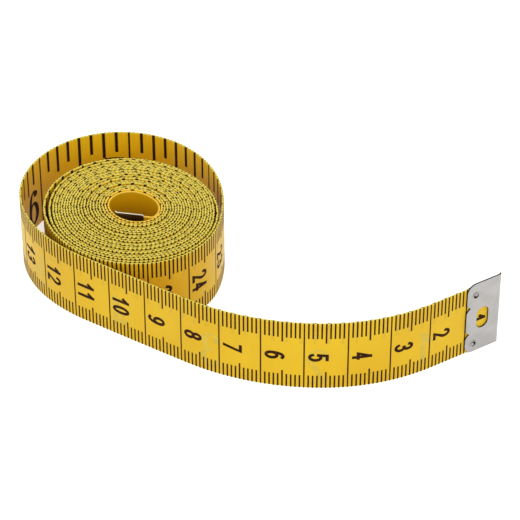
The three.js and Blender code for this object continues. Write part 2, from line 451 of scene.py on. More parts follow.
class Socket:
    """A shader socket that maths is written on as Python expressions."""

    def __init__(self, shader: "Shader", socket: bpy.types.NodeSocket) -> None:
        """Wraps one output socket of a shader's nodes."""
        self.shader = shader
        self.socket = socket

    def maths(self, operation: str, *values: "Socket | float") -> "Socket":
        """Adds a Math node.

        Args:
            operation: The Math node's operation.
            values: Its inputs in order.

        Returns:
            The node's result.
        """
        node = self.shader.node("ShaderNodeMath", {"operation": operation}, dict(enumerate(values)))
        return Socket(self.shader, node.outputs[0])

    def __add__(self, other: "Socket | float") -> "Socket":
        """The sum."""
        return self.maths("ADD", self, other)

    __radd__ = __add__

    def __sub__(self, other: "Socket | float") -> "Socket":
        """The difference."""
        return self.maths("SUBTRACT", self, other)

    def __rsub__(self, other: "Socket | float") -> "Socket":
        """The difference from another value."""
        return self.maths("SUBTRACT", other, self)

    def __mul__(self, other: "Socket | float") -> "Socket":
        """The product."""
        return self.maths("MULTIPLY", self, other)

    __rmul__ = __mul__

    def sine(self) -> "Socket":
        """The sine of a value in radians."""
        return self.maths("SINE", self)

    def above(self, other: "Socket | float") -> "Socket":
        """One where the value is greater than the other, and else zero."""
        return self.maths("GREATER_THAN", self, other)

    def at_most_one(self) -> "Socket":
        """The value, or one where it is more."""
        return self.maths("MINIMUM", self, 1.0)

    def larger(self, other: "Socket | float") -> "Socket":
        """The larger of two values."""
        return self.maths("MAXIMUM", self, other)

    def distance_from(self, other: "Socket | float") -> "Socket":
        """How far the value lies from another."""
        return self.maths("ABSOLUTE", self - other)

    def from_nearest(self, step: float) -> "Socket":
        """How far the value lies from the nearest whole number of steps."""
        return self.maths("PINGPONG", self, step / 2)

    def fading(self, full: float, none: float) -> "Socket":
        """Turns the value into a mask.

        Args:
            full: Where the mask is one, as it is past it.
            none: Where the mask is zero, as it is past it.

        Returns:
            The mask, smooth between the two.
        """
        values = {"Value": self, "From Min": none, "From Max": full}
        node = self.shader.node("ShaderNodeMapRange", {"interpolation_type": "SMOOTHSTEP"}, values)
        return Socket(self.shader, node.outputs[0])


@dataclass(frozen=True)
class Grain:
    """A noise pattern: its repeats for each metre, and where its mask is full and where it is none."""

    scale: float
    detail: float = 2.0
    full: float = 0.7
    none: float = 0.35

    def mask(self, noise: Socket) -> Socket:
        """Turns the pattern's value into soft-edged patches."""
        return noise.fading(self.full, self.none)


class Shader:
    """One node material, with its Principled shader and the nodes that feed it."""

    def __init__(self, name: str) -> None:
        """Makes an empty material with a Principled shader.

        Args:
            name: The material's name.
        """
        self.material = bpy.data.materials.new(name)
        self.material.use_nodes = True
        self.tree = self.material.node_tree
        self.tree.nodes.clear()
        self.output = self.tree.nodes.new("ShaderNodeOutputMaterial")
        self.surface = self.node("ShaderNodeBsdfPrincipled")
        self.tree.links.new(self.surface.outputs[0], self.output.inputs[0])

    def node(self, kind: str, settings: dict | None = None, inputs: dict | None = None) -> bpy.types.Node:
        """Adds any node.

        Args:
            kind: The node's type.
            settings: Its own settings, which are set first.
            inputs: Values or links for its sockets, by name or number.

        Returns:
            The node.
        """
        node = self.tree.nodes.new(kind)
        for name, value in (settings or {}).items():
            setattr(node, name, value)
        for name, value in (inputs or {}).items():
            self.feed(node, name, value)
        return node

    def feed(self, node: bpy.types.Node, name: str | int, value: object) -> None:
        """Sets or links one input socket of a node.

        Args:
            node: The node.
            name: The socket's name or number.
            value: A socket to link, or a plain value.
        """
        if isinstance(value, Socket):
            self.tree.links.new(value.socket, node.inputs[name])
        else:
            node.inputs[name].default_value = value

    def dress(self, inputs: dict[str, object]) -> None:
        """Sets or links sockets of the Principled shader by name."""
        for name, value in inputs.items():
            self.feed(self.surface, name, value)

    def out(self, node: bpy.types.Node, name: str | int = 0) -> Socket:
        """One of a node's outputs as a socket for expressions."""
        return Socket(self, node.outputs[name])

    def mixed(self, share: Socket | float, first: object, second: object) -> Socket:
        """A colour that goes from the first to the second as share goes from zero to one."""
        inputs = {0: share, 6: first, 7: second}
        return self.out(self.node("ShaderNodeMix", {"data_type": "RGBA"}, inputs), 2)

    def noise(self, vector: Socket, grain: Grain) -> Socket:
        """A noise pattern's value, from zero to one."""
        inputs = {"Vector": vector, "Scale": grain.scale, "Detail": grain.detail}
        return self.out(self.node("ShaderNodeTexNoise", {}, inputs), "Fac")

    def bumped(self, height: Socket, strength: float, distance: float) -> Socket:
        """A surface normal that is tilted by a height pattern."""
        inputs = {"Height": height, "Strength": strength, "Distance": distance}
        return self.out(self.node("ShaderNodeBump", {}, inputs))

    def tape_map(self) -> tuple[Socket, Socket, Socket]:
        """Reads the piece's own map.

        Returns:
            Its vector, the place along the tape and the height on it.
        """
        vector = self.out(self.node("ShaderNodeUVMap", {"uv_map": TAPE_MAP}))
        parts = self.node("ShaderNodeSeparateXYZ", {}, {0: vector})
        return vector, self.out(parts, 0), self.out(parts, 1)

    def place_in_object(self) -> Socket:
        """The point on the object."""
        return self.out(self.node("ShaderNodeTexCoord"), "Object")


def linear(red: int, green: int, blue: int) -> tuple[float, float, float, float]:
    """Turns a screen colour into the linear colour that a shader takes.

    Args:
        red: The red part, from 0 to 255.
        green: The green part.
        blue: The blue part.

    Returns:
        The colour with full opacity.
    """
    parts = [value / 255 for value in (red, green, blue)]
    turned = [part / 12.92 if part <= 0.04045 else ((part + 0.055) / 1.055) ** 2.4 for part in parts]
    return (*turned, 1.0)


def grey(light: float) -> tuple[float, float, float, float]:
    """A linear grey with full opacity."""
    return (light, light, light, 1.0)


@dataclass(frozen=True)
class CoatFinish:
    """The soft yellow coating over the weave, with the other face's print faintly showing through."""

    name: str
    face: Face
    colour: tuple
    deep_colour: tuple
    ghost_share: float
    ghost_colour: tuple = linear(186, 160, 50)
    ghost_softness: float = 0.35
    # Painted shade: the darker, more orange colour of the faces deep in the bore.
    plain_colour: tuple = linear(222, 166, 6)
    # Painted light: the faces turn paler within a small depth of both cut edges, for the light that reaches
    # them between the turns.
    rim_colour: tuple = linear(236, 204, 70)
    rim_share: float = 0.6
    rim_depth: float = 0.5 * MM
    patches: Grain = Grain(45.0, 3.0, full=0.68, none=0.32)
    fine_grain: Grain = Grain(2200.0)
    thread_share: float = 0.5
    grain_share: float = 0.7
    weave_strength: float = 0.35
    weave_depth: float = 0.012 * MM
    roughness: float = 0.42
    roughness_swing: float = 0.16
    specular: float = 0.25

    def ghost(self, place: Socket, height: Socket) -> Socket:
        """Where the other face's scale marks show through.

        Args:
            place: The place along the tape.
            height: The height on the tape.

        Returns:
            One on a mark of the other face, and zero between marks.
        """
        scale = SCALES[Face(-self.face.value)]
        half, soft = scale.mark_width / 2, scale.mark_width * self.ghost_softness
        mark = place.from_nearest(scale.step).fading(half - soft, half + soft)
        reach = height.above(scale.width - scale.top_marks[0])
        if scale.bottom_marks:
            reach = reach + (scale.bottom_marks[0] - height).above(0.0)
        printed = place.fading(TAPE.plain_start - TAPE.plain_run, TAPE.plain_start)
        return (mark * reach).at_most_one() * printed

    def material(self) -> bpy.types.Material:
        """Builds the coating's material.

        Returns:
            The material.
        """
        shader = Shader(self.name)
        vector, place, height = shader.tape_map()
        fine = shader.noise(vector, self.fine_grain) - 0.5
        middle = TAPE.width / 2
        # Painted light: paler towards both cut edges.
        rim = height.distance_from(middle).fading(middle, middle - self.rim_depth)
        # Painted shade: darker over the innermost turns, deep in the bore.
        plain = place.fading(TAPE.plain_start, TAPE.plain_start - TAPE.plain_run)
        patches = self.patches.mask(shader.noise(vector, self.patches))
        colour = shader.mixed(patches, self.colour, self.deep_colour)
        colour = shader.mixed(plain, colour, self.plain_colour)
        colour = shader.mixed(self.ghost(place, height) * self.ghost_share, colour, self.ghost_colour)
        turn = 2 * math.pi / TAPE.thread_pitch
        threads = (place * turn).sine() * (height * turn).sine()
        weave = threads * self.thread_share + fine * self.grain_share
        shader.dress({
            "Base Color": shader.mixed(rim * self.rim_share, colour, self.rim_colour),
            "Roughness": self.roughness + fine * self.roughness_swing,
            "Specular IOR Level": self.specular,
            "Normal": shader.bumped(weave, self.weave_strength, self.weave_depth),
        })
        return shader.material


CENTIMETRE_COAT = CoatFinish(
    name="centimetre_face",
    face=Face.CENTIMETRES,
    colour=linear(233, 191, 28),
    deep_colour=linear(224, 179, 22),
    ghost_share=0.28,
)
# Brighter than the centimetre face's coat: painted light for the inch faces, which lie mostly in shade inside
# the roll and the loose turn.
INCH_COAT = CoatFinish(
    name="inch_face",
    face=Face.INCHES,
    colour=linear(250, 200, 18),
    deep_colour=linear(243, 189, 12),
    ghost_share=0.16,
)


@dataclass(frozen=True)
class CutEdgeFinish:
    """The tape's cut edges, where the pale ends of the weave's threads show in the coating."""

    name: str = "tape_cut_edge"
    colour: tuple = linear(226, 202, 62)
    thread_colour: tuple = linear(240, 224, 112)
    gap_colour: tuple = linear(172, 142, 26)
    gap_share: float = 0.6
    # Painted light: from the start given below, the cut edges of the innermost turns turn brighter, for the
    # lit rim of the bore.
    plain_colour: tuple = linear(250, 202, 56)
    plain_share: float = 0.85
    plain_start: float = 1950 * MM
    patches: Grain = Grain(900.0, 3.0)
    gap_full: float = 0.25
    gap_none: float = 0.42
    thread_height: float = 0.6
    bump_strength: float = 0.5
    bump_depth: float = 0.03 * MM
    roughness: float = 0.7
    roughness_swing: float = 0.2

    def material(self) -> bpy.types.Material:
        """Builds the cut edge's material.

        Returns:
            The material.
        """
        shader = Shader(self.name)
        vector, place, _ = shader.tape_map()
        patchy = shader.noise(vector, self.patches)
        threads = (place * (2 * math.pi / TAPE.thread_pitch)).sine() * 0.5 + 0.5
        gaps = patchy.fading(self.gap_full, self.gap_none)
        colour = shader.mixed(threads * self.patches.mask(patchy), self.colour, self.thread_colour)
        colour = shader.mixed(gaps * self.gap_share, colour, self.gap_colour)
        # Painted light: brighter cut edges on the innermost turns, at the rim of the bore.
        plain = place.fading(self.plain_start, self.plain_start - TAPE.plain_run)
        relief = threads * self.thread_height + patchy
        shader.dress({
            "Base Color": shader.mixed(plain * self.plain_share, colour, self.plain_colour),
            "Roughness": self.roughness + (patchy - 0.5) * self.roughness_swing,
            "Normal": shader.bumped(relief, self.bump_strength, self.bump_depth),
        })
        return shader.material


@dataclass(frozen=True)
class PatchyFinish:
    """A finish that varies in soft patches between two colours, and in roughness with them."""

    name: str
    colour: tuple
    patch_colour: tuple
    patches: Grain
    roughness: float
    roughness_swing: float
    specular: float = 0.5

    def material(self) -> bpy.types.Material:
        """Builds the finish's material.

        Returns:
            The material.
        """
        shader = Shader(self.name)
        noise = shader.noise(shader.place_in_object(), self.patches)
        shader.dress({
            "Base Color": shader.mixed(self.patches.mask(noise), self.colour, self.patch_colour),
            "Roughness": self.roughness + (noise - 0.5) * self.roughness_swing,
            "Specular IOR Level": self.specular,
        })
        return shader.material


PRINTING_INK = PatchyFinish(
    name="printing_ink",
    colour=linear(44, 20, 6),
    patch_colour=linear(74, 40, 12),
    patches=Grain(1500.0, full=0.72, none=0.45),
    roughness=0.7,
    roughness_swing=0.3,
    specular=0.1,
)
NUMERAL_SHOWING_THROUGH = PatchyFinish(
    name="numeral_showing_through",
    colour=linear(219, 184, 32),
    patch_colour=linear(206, 177, 42),
    patches=Grain(700.0),
    roughness=0.42,
    roughness_swing=0.16,
)
# Near black: painted shadow lines along the outer clip's cut edges, and painted shade on the discs in both
# clips' stake holes.
CLIP_PAINTED_SHADE = PatchyFinish(
    name="clip_painted_shade",
    colour=linear(6, 5, 5),
    patch_colour=linear(20, 18, 16),
    patches=Grain(800.0, 3.0, full=0.75, none=0.4),
    roughness=0.5,
    roughness_swing=0.2,
    specular=0.2,
)


@dataclass(frozen=True)
class SteelFinish:
    """Satin nickel-grey sheet steel, with a fine grain and faint rubbed scratches."""

    name: str = "clip_satin_steel"
    colour: tuple = linear(170, 168, 166)
    dull_colour: tuple = linear(163, 160, 157)
    roughness: float = 0.36
    smudges: Grain = Grain(260.0, 3.0)
    fine_grain: Grain = Grain(900.0, 4.0)
    scratches: Grain = Grain(340.0, 0.0, full=0.502, none=0.5)
    rolling: float = 9.0
    grain_swing: float = 0.12
    smudge_swing: float = 0.06
    grain_height: float = 0.5
    scratch_height: float = 0.3
    bump_strength: float = 0.1
    bump_depth: float = 0.01 * MM

    def material(self) -> bpy.types.Material:
        """Builds the steel's material.

        Returns:
            The material.
        """
        shader = Shader(self.name)
        point = shader.place_in_object()
        rolled = {"Vector": point, "Scale": (1.0, 1.0, self.rolling)}
        stretched = shader.out(shader.node("ShaderNodeMapping", {}, rolled))
        grain = shader.noise(stretched, self.fine_grain)
        scratch = self.scratches.mask(shader.noise(stretched, self.scratches))
        smudge = shader.noise(point, self.smudges)
        rough = self.roughness + (grain - 0.5) * self.grain_swing + (smudge - 0.5) * self.smudge_swing
        relief = grain * self.grain_height + scratch * self.scratch_height
        shader.dress({
            "Base Color": shader.mixed(self.smudges.mask(smudge), self.colour, self.dull_colour),
            "Metallic": 1.0,
            "Roughness": rough,
            "Normal": shader.bumped(relief, self.bump_strength, self.bump_depth),
        })
        return shader.material


CLIP_STEEL = SteelFinish()
# Dark brownish steel: painted shade, as the inner clip stands deep in the bore.
INNER_CLIP_STEEL = SteelFinish(
    name="inner_clip_steel_painted_shade",
    colour=linear(118, 100, 78),
    dull_colour=linear(96, 80, 62),
)
# Near white: a painted highlight along the inner clip's cut edges, which stand above the dark bore.
INNER_CLIP_EDGE = SteelFinish(
    name="inner_clip_edge_painted_highlight",
    colour=linear(252, 246, 226),
    dull_colour=linear(244, 234, 208),
    roughness=0.5,
)


@dataclass(frozen=True)
class FloorFinish:
    """Matt white paper that reads as pure white to the camera but keeps the object's shadow."""

    name: str = "studio_paper"
    white: float = 0.93
    shade: float = 0.98
    glow: float = 0.52
    grain: Grain = Grain(60.0)

    def material(self) -> bpy.types.Material:
        """Builds the floor's material.

        Returns:
            The material.
        """
        shader = Shader(self.name)
        grain = shader.noise(shader.place_in_object(), self.grain)
        rays = shader.node("ShaderNodeLightPath")
        seen = shader.out(rays, "Is Camera Ray").larger(shader.out(rays, "Is Glossy Ray"))
        seen = seen.larger(shader.out(rays, "Is Transmission Ray"))
        shader.dress({
            "Base Color": shader.mixed(grain, grey(self.white), grey(self.white * self.shade)),
            "Roughness": 1.0,
            "Specular IOR Level": 0.0,
            "Emission Color": shader.mixed(seen, grey(0.0), grey(self.glow)),
            "Emission Strength": 1.0,
        })
        return shader.material


@dataclass(frozen=True)
class Pen:
    """A numeral's stroke widths where it runs upright and across, and the radius of its ball ends."""

    upright: float
    across: float
    ball: float = 0.0
    sharpest_mitre: float = 0.35

    def widths(self, directions: np.ndarray) -> np.ndarray:
        """The stroke's width at directions of length one."""
        return self.across + (self.upright - self.across) * directions[:, 1] ** 2


BOW_STEP = 15.0
BALL_STEP = 20


def bow(centre: tuple, reach: tuple, start: float, stop: float) -> list[tuple[float, float]]:
    """Points of an elliptic arc between two angles in degrees."""
    angles = np.radians(np.linspace(start, stop, math.ceil(abs(stop - start) / BOW_STEP) + 1))
    return [(centre[0] + reach[0] * math.cos(a), centre[1] + reach[1] * math.sin(a)) for a in angles]


DIGIT_STROKES = {
    "0": [bow((0.5, 0.5), (0.5, 0.5), 0, 360)],
    "1": [[(0.62, 0.0), (0.62, 1.0)], [(0.1, 0.7), (0.5, 0.92)]],
    "2": [bow((0.5, 0.72), (0.5, 0.28), 165, -35) + [(0.0, 0.0), (1.0, 0.0)]],
    "3": [bow((0.47, 0.745), (0.45, 0.255), 155, -90), bow((0.47, 0.265), (0.53, 0.265), 90, -155)],
    "4": [[(0.75, 1.0), (0.0, 0.27), (1.0, 0.27)], [(0.75, 1.0), (0.75, 0.0)]],
    "5": [[(0.92, 1.0), (0.14, 1.0), (0.07, 0.52)], bow((0.46, 0.32), (0.54, 0.32), 140, -150)],
    "6": [bow((0.5, 0.32), (0.5, 0.32), 0, 360), bow((0.62, 0.42), (0.62, 0.58), 190, 65)],
    "7": [[(0.0, 1.0), (1.0, 1.0), (0.3, 0.0)]],
    "8": [bow((0.5, 0.755), (0.42, 0.245), 0, 360), bow((0.5, 0.27), (0.5, 0.27), 0, 360)],
}
DIGIT_STROKES["9"] = [[(1 - along, 1 - up) for along, up in stroke] for stroke in DIGIT_STROKES["6"]]
BALL_ENDS = {
    "2": [(0.1, 0.8)],
    "3": [(0.1, 0.84), (0.04, 0.16)],
    "5": [(0.04, 0.17)],
    "6": [(0.86, 0.9)],
    "9": [(0.14, 0.1)],
}


@dataclass(frozen=True)
class ScalePrint:
    """One face's printed scale: its step and marks, and where its numerals stand."""

    width: float
    step: float
    steps_in_unit: int
    half_unit: int
    end: float
    mark_width: float
    line_width: float
    top_marks: tuple[float, ...]
    bottom_marks: tuple[float, ...]
    digit_height: float
    digit_width: float
    digit_pitch: float
    digit_gap: float
    digit_middle: float
    turned: bool
    pen: Pen

    @property
    def numeral_depth(self) -> float:
        """How far a numeral's first digit reaches along the tape."""
        return self.digit_height if self.turned else self.digit_width

    def top_length(self, in_unit: int) -> float:
        """How long a mark on the top edge is, from its number within the unit."""
        return self.length(self.top_marks, in_unit)

    def bottom_length(self, in_unit: int) -> float:
        """How long a mark on the bottom edge is, from its number within the unit."""
        return self.length(self.bottom_marks, in_unit)

    def length(self, marks: tuple[float, ...], in_unit: int) -> float:
        """Picks a mark's length.

        Args:
            marks: The lengths of plain marks, of half units and, where there is one, of quarter units.
            in_unit: The mark's number within the unit.

        Returns:
            The length.
        """
        if in_unit == self.half_unit:
            return marks[1]
        if len(marks) > 2 and in_unit % (self.half_unit // 2) == 0:
            return marks[2]
        return marks[0]


SCALES = {
    Face.CENTIMETRES: ScalePrint(
        width=TAPE.width,
        step=1 * MM,
        steps_in_unit=10,
        half_unit=5,
        end=2000 * MM,
        mark_width=0.39 * MM,
        line_width=0.34 * MM,
        top_marks=(4.35 * MM, 5.65 * MM),
        bottom_marks=(3.7 * MM, 4.8 * MM),
        digit_height=4.7 * MM,
        digit_width=2.4 * MM,
        digit_pitch=2.85 * MM,
        digit_gap=0.9 * MM,
        digit_middle=9.1 * MM,
        turned=True,
        pen=Pen(upright=0.82 * MM, across=0.73 * MM),
    ),
    Face.INCHES: ScalePrint(
        width=TAPE.width,
        step=INCH / 8,
        steps_in_unit=8,
        half_unit=4,
        end=78 * INCH,
        mark_width=0.78 * MM,
        line_width=0.5 * MM,
        top_marks=(5.9 * MM, 8.6 * MM, 7.5 * MM),
        bottom_marks=(),
        digit_height=10 * MM,
        digit_width=5.2 * MM,
        digit_pitch=5.9 * MM,
        digit_gap=1.5 * MM,
        digit_middle=6.5 * MM,
        turned=False,
        pen=Pen(upright=1.5 * MM, across=0.7 * MM, ball=0.9 * MM),
    ),
}


@dataclass(frozen=True)
class PrintBlock:
    """A closed solid as seen from the printed side: to the right, upwards and, from 0 to 1, outwards."""

    points: np.ndarray
    faces: list[tuple[int, ...]]

    @classmethod
    def taken_from(cls, piece: bpy.types.Object) -> "PrintBlock":
        """Takes the mesh of an object on the bench, and clears the object away.

        Args:
            piece: The object.

        Returns:
            The block.
        """
        points = np.array([piece.matrix_world @ vertex.co for vertex in piece.data.vertices])
        faces = [tuple(face.vertices) for face in piece.data.polygons]
        bpy.data.objects.remove(piece)
        return cls(points, faces)


class Bench:
    """Steps of modelling by hand that several pieces share, at one unit to a millimetre."""

    merge: float = 1e-4
    flat_angle: float = math.radians(1)

    @staticmethod
    def clear() -> None:
        """Leaves nothing selected, so that an operator acts on new work alone."""
        bpy.ops.object.select_all(action="DESELECT")

    @staticmethod
    def placed(name: str, data: bpy.types.ID) -> bpy.types.Object:
        """Puts a new object into the scene.

        Args:
            name: The object's name.
            data: Its mesh, curve, lamp or camera.

        Returns:
            The object.
        """
        piece = bpy.data.objects.new(name, data)
        bpy.context.scene.collection.objects.link(piece)
        return piece

    @staticmethod
    def pick(piece: bpy.types.Object) -> None:
        """Selects one piece alone and makes it the active one.

        Args:
            piece: The piece.
        """
        Bench.clear()
        piece.select_set(True)
        bpy.context.view_layer.objects.active = piece

    @staticmethod
    def edit(piece: bpy.types.Object) -> None:
        """Opens a piece in edit mode with all of it selected.

        Args:
            piece: The piece.
        """
        Bench.pick(piece)
        bpy.ops.object.mode_set(mode="EDIT")
        bpy.ops.mesh.select_all(action="SELECT")

    @staticmethod
    def close() -> None:
        """Leaves edit mode."""
        bpy.ops.object.mode_set(mode="OBJECT")

    @staticmethod
    def clean(piece: bpy.types.Object) -> None:
        """Merges a piece's double points and joins its faces that lie in one plane.

        Args:
            piece: The piece.
        """
        Bench.edit(piece)
        bpy.ops.mesh.remove_doubles(threshold=Bench.merge)
        bpy.ops.mesh.dissolve_limited(angle_limit=Bench.flat_angle)
        Bench.close()

    @staticmethod
    def turn_outwards(piece: bpy.types.Object) -> None:
        """Turns all the faces of a closed piece outwards.

        Args:
            piece: The piece.
        """
        Bench.edit(piece)
        bpy.ops.mesh.normals_make_consistent(inside=False)
        Bench.close()

    @staticmethod
    def slice(piece: bpy.types.Object, axis: int, places: np.ndarray) -> None:
        """Cuts new edges across a piece, so that it can be bent there.

        Args:
            piece: The piece.
            axis: The number of the axis that the cuts stand across.
            places: Where on the axis they are.
        """
        normal = [0.0, 0.0, 0.0]
        normal[axis] = 1.0
        Bench.edit(piece)
        for place in places:
            bpy.ops.mesh.select_all(action="SELECT")
            bpy.ops.mesh.bisect(plane_co=[part * place for part in normal], plane_no=normal)
        Bench.close()

    @staticmethod
    def new_piece(
        name: str, points: np.ndarray, faces: list, finishes: list[bpy.types.Material]
    ) -> bpy.types.Object:
        """Makes a named object from points, with its finishes.

        Args:
            name: The piece's name.
            points: Its points.
            faces: Its faces, with outward normals.
            finishes: Its materials.

        Returns:
            The object, at the origin.
        """
        mesh = bpy.data.meshes.new(name)
        mesh.from_pydata(points.tolist(), [], faces)
        for finish in finishes:
            mesh.materials.append(finish)
        return Bench.placed(name, mesh)

    @staticmethod
    def read(items: bpy.types.bpy_prop_collection, name: str) -> np.ndarray:
        """Reads a whole number from each of a mesh's corners or faces.

        Args:
            items: The corners or the faces.
            name: The number's name.

        Returns:
            The numbers in order.
        """
        numbers = np.empty(len(items), int)
        items.foreach_get(name, numbers)
        return numbers

    @staticmethod
    def smooth(piece: bpy.types.Object, degrees: float) -> None:
        """Shades a piece smooth but for edges sharper than an angle."""
        Bench.pick(piece)
        bpy.ops.object.shade_smooth_by_angle(angle=math.radians(degrees))


@dataclass(frozen=True)
class InkSizes:
    """How far print stands proud, what shows through too, and how far both are sunk in the coating."""

    proud: float = 0.015 * MM
    proud_through: float = 0.0045 * MM
    sunk: float = 0.15 * MM
    over_edge: float = 0.004 * MM
    slice_length: float = 0.6 * MM


@dataclass
class DigitSet:
    """The ten digits of one scale as blocks, each with the middle of its foot at the origin."""

    scale: ScalePrint
    ink: InkSizes = InkSizes()

    def __post_init__(self) -> None:
        """Models each digit once."""
        self.size = np.array([self.scale.digit_width, self.scale.digit_height])
        self.blocks = {digit: self.block(digit) for digit in DIGIT_STROKES}

    def centre_line(self, points: list[tuple[float, float]]) -> np.ndarray:
        """Points of the unit box in the digit's box, half a pen inside it."""
        inset = np.array([self.scale.pen.upright, self.scale.pen.across]) / 2
        return inset + np.array(points) * (self.size - 2 * inset)

    def stroke(self, points: list[tuple[float, float]]) -> list[np.ndarray]:
        """Widens a centre line by the pen.

        Args:
            points: The line's points in the unit box.

        Returns:
            A quad for each of its steps, with square ends.
        """
        pen = self.scale.pen
        line = self.centre_line(points)
        steps = np.diff(line, axis=0)
        steps /= np.linalg.norm(steps, axis=1)[:, None]
        closed = np.allclose(line[0], line[-1])
        before = np.concatenate([steps[-1:] if closed else steps[:1], steps])
        after = np.concatenate([steps, steps[:1] if closed else steps[-1:]])
        along = before + after
        along /= np.linalg.norm(along, axis=1)[:, None]
        mitre = 1 / np.maximum(np.sum(along * after, axis=1), pen.sharpest_mitre)
        half = pen.widths(along) * mitre / 2
        if not closed:
            line[0] -= steps[0] * half[0]
            line[-1] += steps[-1] * half[-1]
        aside = np.stack([-along[:, 1], along[:, 0]], -1) * half[:, None]
        left, right = (np.clip(line + side, 0, self.size) for side in (aside, -aside))
        return [np.array([right[i], right[i + 1], left[i + 1], left[i]]) for i in range(len(steps))]

    def disc(self, point: tuple[float, float]) -> np.ndarray:
        """Draws a stroke's ball end.

        Args:
            point: Its middle in the unit box.

        Returns:
            The points of its rim.
        """
        angles = np.radians(np.arange(0, 360, BALL_STEP))
        rim = self.scale.pen.ball * np.stack([np.cos(angles), np.sin(angles)], -1)
        return np.clip(self.centre_line([point])[0] + rim, 0, self.size)

    def flat(self, digit: str) -> bpy.types.Object:
        """Joins a digit's strokes into one flat mesh on the bench.

        Args:
            digit: The digit.

        Returns:
            The mesh's object.
        """
        parts = [quad for points in DIGIT_STROKES[digit] for quad in self.stroke(points)]
        if self.scale.pen.ball:
            parts += [self.disc(point) for point in BALL_ENDS.get(digit, [])]
        middle = self.scale.digit_width / MM / 2
        corners = [Vector(corner) for corner in np.concatenate(parts) / MM - (middle, 0)]
        ends = np.cumsum([len(part) for part in parts])
        loops = [list(range(end - len(part), end)) for part, end in zip(parts, ends)]
        # Triangles out to the hull, each with the strokes that it covers
        points, _, faces, _, _, covers = delaunay_2d_cdt(corners, [], loops, 0, Bench.merge, True)
        covered = [face for face, cover in zip(faces, covers) if cover]
        return Bench.new_piece(digit, np.array([(*point, 0) for point in points]), covered, [])

    def block(self, digit: str) -> PrintBlock:
        """Gives a flat digit its slices, so that it can follow the tape, and its thickness.

        Args:
            digit: The digit.

        Returns:
            The block, in metres but for its thickness of one.
        """
        piece = self.flat(digit)
        half = self.scale.digit_width / 2
        axis, low, high = (1, 0.0, self.scale.digit_height) if self.scale.turned else (0, -half, half)
        count = math.ceil((high - low) / self.ink.slice_length)
        Bench.edit(piece)
        bpy.ops.mesh.delete_loose()
        Bench.close()
        Bench.clean(piece)
        Bench.slice(piece, axis, np.linspace(low, high, count + 1)[1:-1] / MM)
        Bench.edit(piece)
        bpy.ops.mesh.extrude_region_move(TRANSFORM_OT_translate={"value": (0, 0, 1)})
        Bench.close()
        Bench.turn_outwards(piece)
        block = PrintBlock.taken_from(piece)
        return PrintBlock(block.points * (MM, MM, 1), block.faces)


@dataclass(frozen=True)
class Bend:
    """Where a length of tape bends about a joint, from the first body to the second."""

    first: str
    second: str
    start: float
    end: float


